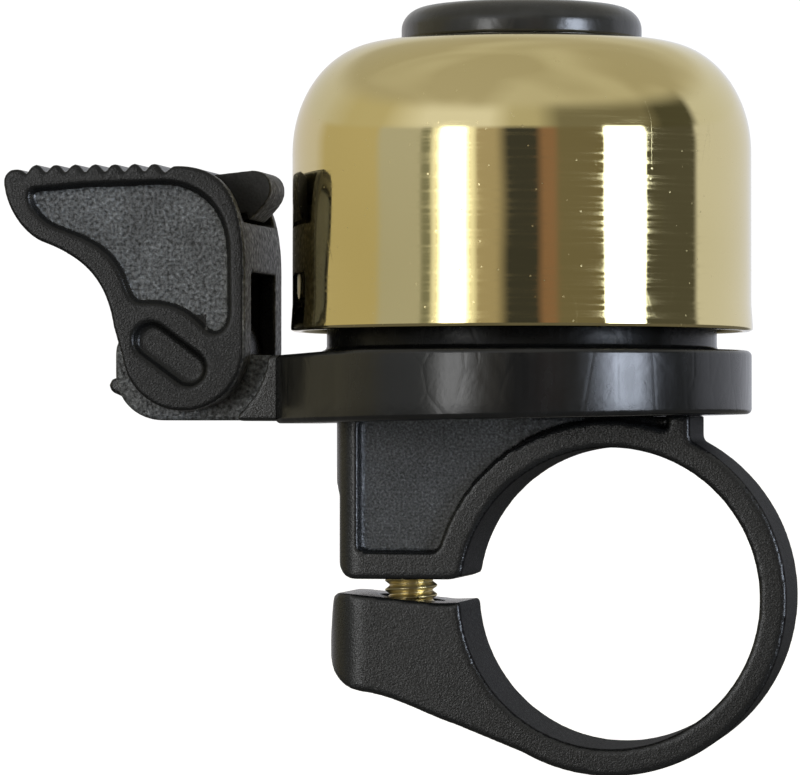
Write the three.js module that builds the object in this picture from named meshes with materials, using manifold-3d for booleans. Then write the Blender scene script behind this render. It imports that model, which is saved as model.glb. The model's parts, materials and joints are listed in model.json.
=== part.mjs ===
// Small brass bicycle bell with a thumb lever, on a one-screw handlebar clamp.
// Millimetres. Origin: centre of the clamp bore, on the axis of the handlebar.
// +X points away from the lever, +Y runs along the handlebar, +Z points up through the bell.
import * as THREE from "three";
import { mergeVertices, toCreasedNormals } from "three/addons/utils/BufferGeometryUtils.js";
import Module from "manifold-3d";

const wasm = await Module();
wasm.setup();

// Handlebar clamp
const BORE_R = 11.1; // 22.2 mm handlebar
const RING_R = 13.1;
const BAND_HALF = 5.0;
const RECESS = 0.8; // depth of the hollowed faces beside the ring
const SPLIT_DEG = 42; // where the thin strap starts to flex
const SPLIT_GAP = 0.3;
const CLAMP_X = -15.6; // axis of the clamp screw
const BLOCK_X0 = -20.7;
const SHELF_Z0 = 1.3;
const SHELF_Z1 = 3.3;
const LUG_X0 = -21.3;

// Base disc, neck and post
const BELL_X = -7.2;
const DISC_R = 17.2;
const DISC_Z0 = 13.1;
const DISC_Z1 = 18.3;
const NECK_R = 14.6;
const NECK_Z1 = 22.4;
const CUP_Z = 16.4;
const POST_R = 4.2;
const POST_Z1 = 39.4;

// Dome and cap
const DOME_R = 17.3;
const RIM_Z = 19.75;
const DOME_TOP = 41.3;
const DOME_WALL = 0.9;
const SHOULDER_R = 6.8;
const SHOULDER_H = 8.2;
const CAP_R = 9.0;
const CAP_Z0 = 41.5;

// Lever and its tongue
const PIVOT_X = -31.65;
const PIVOT_Z = 18.5;
const LEVER_HALF = 7.0;
const LEVER_INNER = 5.9;
const HEEL_R = 4.7;
const TONGUE_HALF = 4.1;
const TONGUE_Z0 = 13.1;
const EYE_R = 3.6;
const PIN_R = 1.25;
const ROOT_SWING_R = 6.5; // arc of the root, clear of the lever heel
const HAMMER_HALF = 2.7;
const LEAF_X = -29.7;
const LEAF_T = 0.35;
const WEB_Z0 = 22.5;
const WEB_Z1 = 24.4;
const WALL_TOP = 28.05; // lever back wall, just under the hammer nose
const WALL_LIP_X = -28.3; // the wall is thinned to a lip here, so that the leaf can swing
const POCKET_DEPTH = 0.6;

// Geometry to solid: one watertight body from a three.js geometry.
function solid(geometry) {
  const bare = geometry.index ? geometry.toNonIndexed() : geometry.clone();
  bare.deleteAttribute("normal");
  bare.deleteAttribute("uv");
  const merged = mergeVertices(bare, 1e-4);
  return new wasm.Manifold(
    new wasm.Mesh({
      numProp: 3,
      vertProperties: merged.attributes.position.array,
      triVerts: new Uint32Array(merged.index.array),
    }),
  );
}

function union(...solids) {
  return solids.reduce((a, b) => a.add(b));
}

function cut(body, ...tools) {
  return tools.reduce((a, b) => a.subtract(b), body);
}

// Box from its limits.
function box(x0, x1, y0, y1, z0, z1) {
  const g = new THREE.BoxGeometry(x1 - x0, y1 - y0, z1 - z0);
  g.translate((x0 + x1) / 2, (y0 + y1) / 2, (z0 + z1) / 2);
  return solid(g);
}

// Outline drawn in X and Z, extruded along Y.
function slab(shape, y0, y1, steps = 10) {
  const g = new THREE.ExtrudeGeometry(shape, {
    depth: y1 - y0,
    bevelEnabled: false,
    curveSegments: steps,
  });
  g.rotateX(Math.PI / 2);
  g.translate(0, y1, 0);
  return solid(g);
}

// Outline drawn in X and Y, extruded along Z.
function plate(shape, z0, z1, steps = 10) {
  const g = new THREE.ExtrudeGeometry(shape, {
    depth: z1 - z0,
    bevelEnabled: false,
    curveSegments: steps,
  });
  g.translate(0, 0, z0);
  return solid(g);
}

// Cylinder along Y.
function drum(x, z, r, y0, y1, sides = 40) {
  const g = new THREE.CylinderGeometry(r, r, y1 - y0, sides);
  g.translate(x, (y0 + y1) / 2, z);
  return solid(g);
}

// Cylinder along Z.
function rod(x, r, z0, z1, sides = 32) {
  const g = new THREE.CylinderGeometry(r, r, z1 - z0, sides);
  g.rotateX(Math.PI / 2);
  g.translate(x, 0, (z0 + z1) / 2);
  return solid(g);
}

// Profile of [radius, height] points turned about the vertical axis at x.
function turned(x, points, sides = 72) {
  const g = new THREE.LatheGeometry(
    points.map(([r, z]) => new THREE.Vector2(r, z)),
    sides,
  );
  g.rotateX(Math.PI / 2);
  g.translate(x, 0, 0);
  return solid(g);
}

// Quarter ellipse as profile points, from one angle to another in degrees.
function corner(cr, cz, a, b, from, to, steps) {
  const points = [];
  for (let i = 0; i <= steps; i++) {
    const t = THREE.MathUtils.degToRad(from + ((to - from) * i) / steps);
    points.push([cr + a * Math.cos(t), cz + b * Math.sin(t)]);
  }
  return points;
}

const group = new THREE.Group();
group.name = "bicycle_bell";

function add(name, body, color, roughness, metalness) {
  const mesh = body.getMesh();
  const g = new THREE.BufferGeometry();
  g.setAttribute("position", new THREE.BufferAttribute(mesh.vertProperties, 3));
  g.setIndex(new THREE.BufferAttribute(mesh.triVerts, 1));
  const piece = new THREE.Mesh(
    toCreasedNormals(g, 0.6),
    new THREE.MeshStandardMaterial({ color, roughness, metalness }),
  );
  piece.name = name;
  group.add(piece);
}

// Disc, neck cup and hollow post, one turned shape.
function bellBase() {
  const e = 0.5;
  const profile = [
    [0, DISC_Z0],
    ...corner(DISC_R - e, DISC_Z0 + e, e, e, -90, 0, 4),
    ...corner(DISC_R - e, DISC_Z1 - e, e, e, 0, 90, 4),
    [NECK_R + 0.4, DISC_Z1],
    [NECK_R, DISC_Z1 + 0.4],
    [NECK_R, NECK_Z1],
    [NECK_R - 1.2, NECK_Z1],
    [NECK_R - 1.2, CUP_Z],
    [POST_R + 1.5, CUP_Z],
    [POST_R, CUP_Z + 2.5],
    [POST_R - 0.2, POST_Z1],
    [0, POST_Z1],
  ];
  return cut(turned(BELL_X, profile), rod(BELL_X, 2.0, 28, POST_Z1 + 1));
}

// Solid root that joins the disc to the lever tongue, cut back in an arc round the pivot.
function leverRoot() {
  const plan = new THREE.Shape();
  plan.moveTo(-24.6, -LEVER_HALF);
  plan.lineTo(-19.3, -12.2);
  plan.lineTo(-10, -6);
  plan.lineTo(-10, 6);
  plan.lineTo(-19.3, 12.2);
  plan.lineTo(-24.6, LEVER_HALF);
  plan.lineTo(-27.5, LEVER_HALF);
  plan.lineTo(-27.5, -LEVER_HALF);
  return cut(plate(plan, DISC_Z0, 18.0), drum(PIVOT_X, PIVOT_Z, ROOT_SWING_R, -8, 8, 64));
}

// Tongue that carries the pivot, with its eye, spring pocket and the small nib at its end.
function tongue() {
  const s = new THREE.Shape();
  s.moveTo(-22, TONGUE_Z0);
  s.lineTo(-22, 18.0);
  s.lineTo(PIVOT_X + 2, 18.0);
  s.lineTo(PIVOT_X, PIVOT_Z + EYE_R);
  s.lineTo(-35.2, 20.6);
  s.quadraticCurveTo(-37.4, 20.0, -37.5, 18.2);
  s.lineTo(-37.5, 16.4);
  s.bezierCurveTo(-37.4, 14.6, -35.9, TONGUE_Z0, -33.9, TONGUE_Z0);
  const nib = new THREE.Shape();
  nib.absarc(-38.0, 15.75, 0.6, 0.35 * Math.PI, 1.35 * Math.PI);
  nib.lineTo(-36.4, 14.5);
  nib.lineTo(-36.4, 15.9);
  const body = union(
    slab(s, -TONGUE_HALF, TONGUE_HALF),
    drum(PIVOT_X, PIVOT_Z, EYE_R, -TONGUE_HALF, TONGUE_HALF),
    slab(nib, -1.5, 1.5),
  );
  return cut(
    body,
    drum(PIVOT_X, PIVOT_Z, PIN_R + 0.15, -5, 5),
    drum(PIVOT_X, PIVOT_Z, 2.95, 1.1, 5),
    box(PIVOT_X - 0.3, -27.2, 1.1, 5, 15.4, 16.9),
    box(PIVOT_X - 3.1, PIVOT_X - 1.6, 1.1, 5, PIVOT_Z, 23),
  );
}

// Part of a flat ring from one angle to the other, in degrees from +X towards +Z.
function ringPart(from, to) {
  const a = THREE.MathUtils.degToRad(from);
  const b = THREE.MathUtils.degToRad(to);
  const s = new THREE.Shape();
  s.absarc(0, 0, RING_R, a, b, false);
  s.absarc(0, 0, BORE_R, b, a, true);
  return slab(s, -BAND_HALF, BAND_HALF, 22);
}

// Plan outline of a lug with rounded outer corners.
function lugPlan(x0, x1, r) {
  const s = new THREE.Shape();
  s.moveTo(x1, -BAND_HALF);
  s.lineTo(x1, BAND_HALF);
  s.lineTo(x0 + r, BAND_HALF);
  s.absarc(x0 + r, BAND_HALF - r, r, Math.PI / 2, Math.PI, false);
  s.absarc(x0 + r, r - BAND_HALF, r, Math.PI, 1.5 * Math.PI, false);
  return s;
}

// Upper clamp block: shelf, column, hollowed side walls and the upper part of the ring.
function clampBlock() {
  const side = new THREE.Shape();
  side.moveTo(-6, 14);
  side.lineTo(BLOCK_X0, 14);
  side.lineTo(BLOCK_X0, SHELF_Z0 + 1.3);
  side.absarc(BLOCK_X0 + 1.3, SHELF_Z0 + 1.3, 1.3, Math.PI, 1.5 * Math.PI, false);
  side.lineTo(-11.9, SHELF_Z0);
  side.quadraticCurveTo(-10.9, SHELF_Z0 + 0.1, -10.7, SHELF_Z0 + 1.2);
  side.lineTo(-6, 8);
  const block = plate(lugPlan(BLOCK_X0, -5, 2.0), 0, 14).intersect(slab(side, -6, 6));
  const recess = new THREE.Shape();
  recess.moveTo(-18.4, DISC_Z0 + 0.1);
  recess.lineTo(-18.4, SHELF_Z1);
  recess.lineTo(-13.2, SHELF_Z1);
  recess.quadraticCurveTo(-12.75, SHELF_Z1, -12.6, 3.7);
  recess.absarc(0, 0, RING_R, Math.atan2(3.7, -12.6), 0.585 * Math.PI, true);
  recess.lineTo(-3.2, DISC_Z0 + 0.1);
  const ring = ringPart(SPLIT_DEG, 172);
  const saddle = box(-8, 6.0, -4.2, 4.2, 11.6, 13.4);
  const rib = box(4.4, 6.0, -BAND_HALF, BAND_HALF, 11.5, 13.4);
  return cut(
    union(block, ring, saddle, rib),
    slab(recess, -6, RECESS - BAND_HALF),
    slab(recess, BAND_HALF - RECESS, 6),
    drum(0, 0, BORE_R, -7, 7, 96),
  );
}

// One moulding: disc, post, root, tongue and clamp block, with its screw bore and nut pocket.
function baseBody() {
  const bore = drum(0, 0, BORE_R, -7, 7, 96);
  const moulding = union(cut(union(bellBase(), leverRoot()), bore), tongue(), clampBlock());
  return cut(
    moulding,
    rod(CLAMP_X, 2.5, 0, 13.4),
    box(CLAMP_X - 4.2, CLAMP_X + 4.2, -3.65, 6, 7.2, 10.8),
  );
}

// Strap and lower lug, the flexing end of the same moulding.
function clampBand() {
  const lug = new THREE.Shape();
  lug.moveTo(-10.3, -0.75);
  lug.lineTo(-11.9, -0.6);
  lug.lineTo(-20.3, 0.25);
  lug.quadraticCurveTo(-20.9, 0.25, -20.95, -0.5);
  lug.lineTo(LUG_X0, -3.5);
  lug.bezierCurveTo(-21.4, -5.6, -20.2, -6.9, -18.2, -7.1);
  lug.bezierCurveTo(-15.9, -7.4, -13.5, -8.8, -11.5, -9.4);
  lug.lineTo(-3.96, -12.4);
  lug.lineTo(-4, -10.5);
  const body = slab(lug, -6, 6).intersect(plate(lugPlan(LUG_X0, 0, 2.9), -14, 1));
  const strap = ringPart(-178, SPLIT_DEG - (SPLIT_GAP / 12.1) * 57.3);
  return cut(
    union(body, strap),
    drum(0, 0, BORE_R, -7, 7, 96),
    rod(CLAMP_X, 2.25, -9, 2),
    rod(CLAMP_X, 4.0, -12, -4.0),
  );
}

// Brass dome: a thin shell with a rounded shoulder and a hole for its screw.
function dome() {
  const w = DOME_WALL;
  const outer = corner(
    DOME_R - SHOULDER_R, DOME_TOP - SHOULDER_H, SHOULDER_R, SHOULDER_H, 0, 90, 14);
  const inner = corner(
    DOME_R - SHOULDER_R, DOME_TOP - SHOULDER_H, SHOULDER_R - w, SHOULDER_H - w, 90, 0, 14);
  const profile = [
    [DOME_R - 0.15, RIM_Z],
    [DOME_R, RIM_Z + 0.2],
    ...outer,
    [2.3, DOME_TOP],
    [2.3, DOME_TOP - w],
    ...inner,
    [DOME_R - w, RIM_Z + 0.2],
    [DOME_R - w + 0.15, RIM_Z],
    [DOME_R - 0.15, RIM_Z],
  ];
  return turned(BELL_X, profile);
}

function washer(x, inner, outer, z0, z1) {
  return turned(x, [[inner, z0], [outer, z0], [outer, z1], [inner, z1], [inner, z0]], 40);
}

// Cap over the dome screw, with a snap skirt round the washer.
function topCap() {
  const profile = [
    [CAP_R - 0.1, CAP_Z0],
    [CAP_R, CAP_Z0 + 0.15],
    [CAP_R, CAP_Z0 + 0.75],
    ...corner(CAP_R - 1.7, CAP_Z0 + 0.75, 1.7, 1.65, 10, 90, 7),
    [3.6, CAP_Z0 + 2.6],
    [0, CAP_Z0 + 2.7],
    [0, CAP_Z0 + 2.0],
    [4.9, CAP_Z0 + 1.8],
    [4.9, CAP_Z0 + 0.1],
    [5.6, CAP_Z0 + 0.1],
    [5.6, CAP_Z0 + 1.7],
    [7.4, CAP_Z0 + 1.5],
    [8.1, CAP_Z0 + 0.8],
    [8.1, CAP_Z0],
    [CAP_R - 0.1, CAP_Z0],
  ];
  return turned(BELL_X, profile, 64);
}

// Pan head screw along Z, head towards +Z or -Z, with a cross recess.
function crossScrew(x, headZ, headH, headR, tipZ, shankR) {
  const d = Math.sign(headH);
  const far = headZ + headH;
  const arm = headR * 0.6;
  const blade = 0.35;
  const floor = far - d * 1.1;
  const open = far + d * 0.5;
  const z0 = Math.min(floor, open);
  const z1 = Math.max(floor, open);
  const cross = union(
    box(x - arm, x + arm, -blade, blade, z0, z1),
    box(x - blade, x + blade, -arm, arm, z0, z1),
  );
  const profile = [
    [0, far],
    [headR - 0.7, far],
    [headR - 0.1, far - d * 0.7],
    [headR, headZ + d * 0.3],
    [headR, headZ],
    [shankR, headZ],
    [shankR, tipZ + d * 0.6],
    [shankR - 0.5, tipZ],
    [0, tipZ],
  ];
  return cut(turned(x, d > 0 ? profile.reverse() : profile, 32), cross);
}

// Hexagon nut round the clamp screw, flats facing +Y and -Y.
function clampNut() {
  const g = new THREE.CylinderGeometry(4.04, 4.04, 3.1, 6);
  g.rotateX(Math.PI / 2);
  g.rotateZ(Math.PI / 6);
  g.translate(CLAMP_X, 0, 9.0);
  return cut(solid(g), rod(CLAMP_X, 2.15, 6, 12));
}

// Side outline of the lever with its row of rounded grip ribs along the top.
function leverOutline() {
  const ribs = 7;
  const pitch = 1.51;
  const valley = 31.55;
  const s = new THREE.Shape();
  s.moveTo(-36.3, 17.9);
  s.absarc(PIVOT_X, PIVOT_Z, HEEL_R, 1.04 * Math.PI, 2 * Math.PI, false);
  s.lineTo(PIVOT_X + HEEL_R, 23.4);
  s.bezierCurveTo(-26.85, 28.8, -27.9, 32.15, -32.4, 32.05);
  s.lineTo(-33.1, valley);
  for (let i = 0; i < ribs; i++) {
    const x = -33.1 - i * pitch;
    s.quadraticCurveTo(x - pitch / 2, valley + 1.35, x - pitch, valley);
  }
  s.quadraticCurveTo(-44.0, 32.0, -44.9, 31.8);
  s.quadraticCurveTo(-45.5, 31.5, -45.4, 30.8);
  s.bezierCurveTo(-45.2, 29.0, -44.0, 27.2, -42.5, 26.5);
  s.bezierCurveTo(-39.2, 25.3, -37.5, 23.6, -36.95, 20.1);
  return s;
}

// Hollow inside the lever, about 1.2 mm in from the outline.
function leverCavity() {
  const s = new THREE.Shape();
  s.moveTo(-35.1, 18.5);
  s.absarc(PIVOT_X, PIVOT_Z, 3.5, Math.PI, 2 * Math.PI, false);
  s.lineTo(-28.15, 23.5);
  s.bezierCurveTo(-28.1, 28.0, -29.3, 30.7, -32.6, 30.6);
  s.lineTo(-43.6, 30.4);
  s.bezierCurveTo(-43.9, 29.2, -43.2, 28.2, -41.9, 27.6);
  s.bezierCurveTo(-38.6, 26.3, -36.3, 24.4, -35.7, 20.3);
  return s;
}

// Shallow pocket in each side face of the lever, with its obround partner below.
function sidePocket() {
  const s = new THREE.Shape();
  s.moveTo(-42.9, 30.55);
  s.lineTo(-33.4, 30.95);
  s.bezierCurveTo(-30.2, 31.0, -28.1, 28.8, -28.1, 25.5);
  s.lineTo(-28.05, 21.2);
  s.bezierCurveTo(-28.1, 19.5, -29.3, 19.0, -30.2, 20.0);
  s.bezierCurveTo(-31.4, 21.3, -32.6, 21.8, -34.2, 21.8);
  s.bezierCurveTo(-35.6, 21.7, -35.7, 22.0, -36.3, 23.7);
  s.bezierCurveTo(-37.2, 25.9, -39.0, 26.6, -41.2, 27.4);
  s.bezierCurveTo(-42.6, 27.9, -43.6, 29.2, -43.45, 30.1);
  s.quadraticCurveTo(-43.3, 30.5, -42.9, 30.55);
  return s;
}

function heelPocket() {
  const tilt = Math.atan2(16.98 - 19.08, 2.85);
  const s = new THREE.Shape();
  s.absarc(-34.09, 19.08, 1.38, tilt + Math.PI / 2, tilt + 1.5 * Math.PI, false);
  s.absarc(-31.24, 16.98, 1.38, tilt - Math.PI / 2, tilt + Math.PI / 2, false);
  return s;
}

// Thumb lever: a hollow shell, open below for the tongue and above for the hammer.
function thumbLever() {
  let body = cut(
    slab(leverOutline(), -LEVER_HALF, LEVER_HALF, 8),
    slab(leverCavity(), -LEVER_INNER, LEVER_INNER, 8),
    drum(PIVOT_X, PIVOT_Z, 6.4, -TONGUE_HALF - 0.3, TONGUE_HALF + 0.3, 64),
    box(-28.6, -26, -TONGUE_HALF - 0.3, TONGUE_HALF + 0.3, 16, 24.2),
    box(-30.6, -25, -LEVER_INNER, LEVER_INNER, WALL_TOP, 34),
    box(-30.6, WALL_LIP_X, -3.1, 3.1, 26.3, 30),
  );
  body = union(
    body,
    box(-33.6, LEAF_X - 0.3, -LEVER_INNER - 0.4, LEVER_INNER + 0.4, WEB_Z0, WEB_Z1),
    drum(PIVOT_X, PIVOT_Z, 2.7, -LEVER_INNER - 0.4, -TONGUE_HALF - 0.3),
    drum(PIVOT_X, PIVOT_Z, 2.7, TONGUE_HALF + 0.3, LEVER_INNER + 0.4),
  );
  return cut(
    body,
    slab(sidePocket(), -8, POCKET_DEPTH - LEVER_HALF, 6),
    slab(heelPocket(), -8, POCKET_DEPTH - LEVER_HALF, 8),
    slab(sidePocket(), LEVER_HALF - POCKET_DEPTH, 8, 6),
    drum(PIVOT_X, PIVOT_Z, PIN_R + 0.15, -6.15, 8),
    drum(PIVOT_X, PIVOT_Z, 2.1, 6.45, 8),
    rivetBore(0.65, -34, -29),
  );
}

function rivetBore(r, x0, x1) {
  const g = new THREE.CylinderGeometry(r, r, x1 - x0, 20);
  g.rotateZ(Math.PI / 2);
  g.translate((x0 + x1) / 2, 0, 23.45);
  return solid(g);
}

function leafRivet() {
  return union(rivetBore(0.5, -33.9, -29.0), rivetBore(1.0, -29.15, -28.6), rivetBore(0.9, -34.1, -33.8));
}

// Hammer head with its rounded nose towards the dome and a slot for the leaf. Its underside is
// relieved behind the nose, so that it passes over the lip of the lever's back wall.
function hammerHead() {
  const s = new THREE.Shape();
  s.moveTo(-30.2, 27.6);
  s.lineTo(-29.2, 27.6);
  s.lineTo(-29.0, 28.35);
  s.lineTo(-28.25, 28.62);
  s.lineTo(-27.75, 28.62);
  s.lineTo(-27.5, 28.2);
  s.lineTo(-27.35, 28.25);
  s.bezierCurveTo(-26.5, 29.1, -25.8, 29.8, -25.85, 30.6);
  s.bezierCurveTo(-25.9, 31.5, -26.5, 31.9, -27.3, 31.9);
  s.lineTo(-30.2, 31.6);
  return cut(
    slab(s, -HAMMER_HALF, HAMMER_HALF, 8),
    box(LEAF_X - 0.15, LEAF_X + LEAF_T + 0.15, -2.15, 2.15, 27, 30),
  );
}

// Flat spring leaf that carries the hammer head.
function hammerLeaf() {
  return cut(
    box(LEAF_X, LEAF_X + LEAF_T, -2.0, 2.0, WEB_Z0 + 0.1, 29.8),
    rivetBore(0.6, -31, -29),
  );
}

function pivotPin() {
  return union(
    drum(PIVOT_X, PIVOT_Z, PIN_R, -6.0, 6.7, 32),
    drum(PIVOT_X, PIVOT_Z, 1.9, 6.6, 6.95, 32),
  );
}

// Torsion spring round the pivot: one leg in the tongue, the other behind the lever web.
class SpringPath extends THREE.Curve {
  getPoint(t, target = new THREE.Vector3()) {
    const r = 2.2;
    const turns = 3.25;
    const y0 = 1.75;
    const rise = 0.58;
    const legA = 2.6;
    const legB = 5.2;
    const coil = turns * 2 * Math.PI * r;
    const s = t * (legA + coil + legB);
    if (s < legA) return target.set(PIVOT_X + legA - s, y0, PIVOT_Z - r);
    if (s < legA + coil) {
      const a = (s - legA) / r;
      return target.set(
        PIVOT_X - r * Math.sin(a), y0 + (rise * a) / (2 * Math.PI), PIVOT_Z - r * Math.cos(a));
    }
    return target.set(PIVOT_X - r, y0 + rise * turns, PIVOT_Z + s - legA - coil);
  }
}

function returnSpring() {
  const section = new THREE.Shape();
  section.absarc(0, 0, 0.24, 0, 2 * Math.PI, false);
  const g = new THREE.ExtrudeGeometry(section, {
    steps: 110,
    extrudePath: new SpringPath(),
    curveSegments: 4,
    bevelEnabled: false,
  });
  return solid(g);
}

const PLASTIC = 0x2c2d2e;
const STEEL = 0xb9bcc0;
add("base_body", baseBody(), PLASTIC, 0.55, 0);
add("clamp_band", clampBand(), PLASTIC, 0.55, 0);
add("dome", dome(), 0xc8ab62, 0.12, 1);
add("dome_seat_washer", washer(BELL_X, 2.3, 4.4, 39.6, 40.2), 0x1c1c1c, 0.8, 0);
add("dome_washer", washer(BELL_X, 2.3, 4.5, 41.5, 42.0), STEEL, 0.35, 1);
add("dome_screw", crossScrew(BELL_X, 42.15, 0.95, 3.3, 29, 1.85), STEEL, 0.35, 1);
add("top_cap", topCap(), 0x353532, 0.4, 0);
add("thumb_lever", thumbLever(), 0x303234, 0.55, 0);
add("hammer_head", hammerHead(), 0x2b2c2d, 0.6, 0);
add("hammer_leaf", hammerLeaf(), STEEL, 0.35, 1);
add("leaf_rivet", leafRivet(), STEEL, 0.35, 1);
add("pivot_pin", pivotPin(), STEEL, 0.3, 1);
add("return_spring", returnSpring(), STEEL, 0.3, 1);
add("clamp_screw", crossScrew(CLAMP_X, -4.75, -2.2, 3.6, 12.6, 2.0), 0xb59a4c, 0.3, 1);
add("clamp_washer", washer(CLAMP_X, 2.3, 3.8, -4.6, -4.1), 0xb59a4c, 0.3, 1);
add("clamp_nut", clampNut(), 0xb59a4c, 0.3, 1);

export default group;
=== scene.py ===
"""Visual model of the bicycle bell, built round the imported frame.

Shapes are made in millimetres, in the frame's own axes: +X away from the thumb lever, +Y along
the handlebar and +Z up. Each mesh is scaled to metres when it is done.
"""

import bpy
import bmesh
import json
import math
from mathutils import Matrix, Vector

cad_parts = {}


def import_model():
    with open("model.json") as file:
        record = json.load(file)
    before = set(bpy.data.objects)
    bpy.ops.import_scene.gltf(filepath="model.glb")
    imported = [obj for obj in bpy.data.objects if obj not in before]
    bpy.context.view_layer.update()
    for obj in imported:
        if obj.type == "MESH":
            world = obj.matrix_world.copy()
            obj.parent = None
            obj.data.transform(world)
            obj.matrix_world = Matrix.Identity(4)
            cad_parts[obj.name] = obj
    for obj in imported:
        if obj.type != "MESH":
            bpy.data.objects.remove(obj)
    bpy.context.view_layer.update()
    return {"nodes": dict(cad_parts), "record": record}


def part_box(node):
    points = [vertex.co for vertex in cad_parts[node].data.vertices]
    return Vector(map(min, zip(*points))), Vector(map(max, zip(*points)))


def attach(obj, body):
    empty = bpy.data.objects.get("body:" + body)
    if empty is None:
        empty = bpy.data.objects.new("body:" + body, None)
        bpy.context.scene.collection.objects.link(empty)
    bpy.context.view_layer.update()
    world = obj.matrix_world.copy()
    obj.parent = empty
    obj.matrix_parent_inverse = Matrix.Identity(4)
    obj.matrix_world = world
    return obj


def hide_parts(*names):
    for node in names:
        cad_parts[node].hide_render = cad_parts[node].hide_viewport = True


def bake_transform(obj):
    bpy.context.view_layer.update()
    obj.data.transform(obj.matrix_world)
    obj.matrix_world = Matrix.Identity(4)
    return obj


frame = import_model()
MM = 0.001


def node_box(name):
    low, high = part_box(name)
    return low / MM, high / MM


def joint_place(name):
    for joint in frame["record"]["behaviour"]["joints"]:
        if joint["name"] == name:
            return Vector(joint["pos_m"]) / MM
    raise ValueError(name)


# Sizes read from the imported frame
dome_low, dome_high = node_box("dome")
BELL_X = (dome_low.x + dome_high.x) / 2
DOME_R = (dome_high.x - dome_low.x) / 2
RIM_Z, DOME_TOP = dome_low.z, dome_high.z
cap_low, cap_high = node_box("top_cap")
CAP_R = (cap_high.x - cap_low.x) / 2
base_high = node_box("base_body")[1]
band_high = node_box("clamp_band")[1]
lever_high = node_box("thumb_lever")[1]
screw_low, screw_high = node_box("clamp_screw")
PIVOT = joint_place("lever_press")
DISC_R = base_high.x - BELL_X
RING_R = band_high.x
BAND_HALF = band_high.y
LEVER_HALF = lever_high.y
SCREW_X = (screw_low.x + screw_high.x) / 2

# Sizes that the frame's boxes don't give
DISC_Z0, DISC_Z1 = 13.1, 18.3
NECK_R = DISC_R - 2.6
BORE_R = RING_R - 2.0
TONGUE_HALF = 4.1
RECESS_DEPTH = 0.9
LEVER_INNER = LEVER_HALF - 1.1
POCKET_DEPTH = 0.6
PIN_HOLE_R = 1.4
THREAD_PITCH = 0.7


# ---------------------------------------------------------------- mesh tools
def arc(cx, cz, r, start, end, steps=16, rz=None):
    """Points along a circle, or along an ellipse where rz is given; the angles are in degrees."""
    rz = r if rz is None else rz
    out = []
    for i in range(steps + 1):
        t = math.radians(start + (end - start) * i / steps)
        out.append((cx + r * math.cos(t), cz + rz * math.sin(t)))
    return out


def bezier(p0, p1, p2, p3, steps=14):
    """Points along a cubic curve, without its first one."""
    out = []
    for i in range(1, steps + 1):
        t = i / steps
        u = 1 - t
        w = (u * u * u, 3 * u * u * t, 3 * u * t * t, t * t * t)
        out.append(tuple(sum(w[k] * p[a] for k, p in enumerate((p0, p1, p2, p3))) for a in (0, 1)))
    return out


def quadratic(p0, p1, p2, steps=8):
    """Points along a curve with one control point, without its first one."""
    a = tuple(p0[k] + (p1[k] - p0[k]) * 2 / 3 for k in (0, 1))
    b = tuple(p2[k] + (p1[k] - p2[k]) * 2 / 3 for k in (0, 1))
    return bezier(p0, a, b, p2, steps)


def off_edge(p, a, b):
    """Distance from a point to the stretch between two others."""
    along = b - a
    t = max(0.0, min(1.0, (p - a).dot(along) / along.length_squared))
    return (p - a - along * t).length


def inset(outline, amount):
    """The same outline moved inwards, without the points that a tight corner would cross over."""
    n = len(outline)
    points = [Vector(p) for p in outline]
    area = sum(points[i - 1].x * points[i].y - points[i].x * points[i - 1].y for i in range(n))
    side = 1 if area > 0 else -1
    out = []
    for i in range(n):
        step = (points[(i + 1) % n] - points[i - 1]).normalized() * side * amount
        moved = points[i] + Vector((-step.y, step.x))
        if all(off_edge(moved, points[k - 1], points[k]) > amount * 0.96 for k in range(n)):
            out.append((moved.x, moved.y))
    return out


def nearest(p, line, y):
    """The point of an outline that lies closest to p, seen from the side, at the depth y."""
    x, z = min(line, key=lambda q: (q[0] - p[0]) ** 2 + (q[1] - p[1]) ** 2)
    return Vector((x, y, z))


def link_object(name, mesh):
    ob = bpy.data.objects.new(name, mesh)
    bpy.context.scene.collection.objects.link(ob)
    return ob


def made(name, bm):
    """A finished bmesh as an object, with its normals outwards."""
    bmesh.ops.remove_doubles(bm, verts=bm.verts, dist=1e-5)
    bmesh.ops.recalc_face_normals(bm, faces=bm.faces)
    mesh = bpy.data.meshes.new(name)
    bm.to_mesh(mesh)
    bm.free()
    return link_object(name, mesh)


def prism(outline, low, high, along="Y"):
    """Closed outline swept along Y (outline in X, Z) or along Z (outline in X, Y)."""
    bm = bmesh.new()

    def at(p, w):
        return (p[0], w, p[1]) if along == "Y" else (p[0], p[1], w)

    near = [bm.verts.new(at(p, low)) for p in outline]
    far = [bm.verts.new(at(p, high)) for p in outline]
    n = len(outline)
    bm.faces.new(near)
    bm.faces.new(list(reversed(far)))
    for i in range(n):
        bm.faces.new((near[i], far[i], far[(i + 1) % n], near[(i + 1) % n]))
    bmesh.ops.triangulate(bm, faces=[f for f in bm.faces if len(f.verts) > 4])
    return made("prism", bm)


def revolve(profile, x, steps, closed=True):
    """Profile of (radius, z) points turned about the vertical line at x."""
    turns = [2 * math.pi * k / steps for k in range(steps)]
    bm = bmesh.new()
    rows = []
    for r, z in profile:
        if r < 1e-6:
            rows.append([bm.verts.new((x, 0, z))])
        else:
            rows.append([bm.verts.new((x + r * math.cos(t), r * math.sin(t), z)) for t in turns])
    pairs = list(zip(rows, rows[1:]))
    if closed:
        pairs.append((rows[-1], rows[0]))
    for a, b in pairs:
        for k in range(steps):
            m = (k + 1) % steps
            if len(a) == 1 and len(b) == 1:
                break
            if len(a) == 1:
                bm.faces.new((a[0], b[k], b[m]))
            elif len(b) == 1:
                bm.faces.new((a[k], b[0], a[m]))
            else:
                bm.faces.new((a[k], b[k], b[m], a[m]))
    return made("turned", bm)


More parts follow.
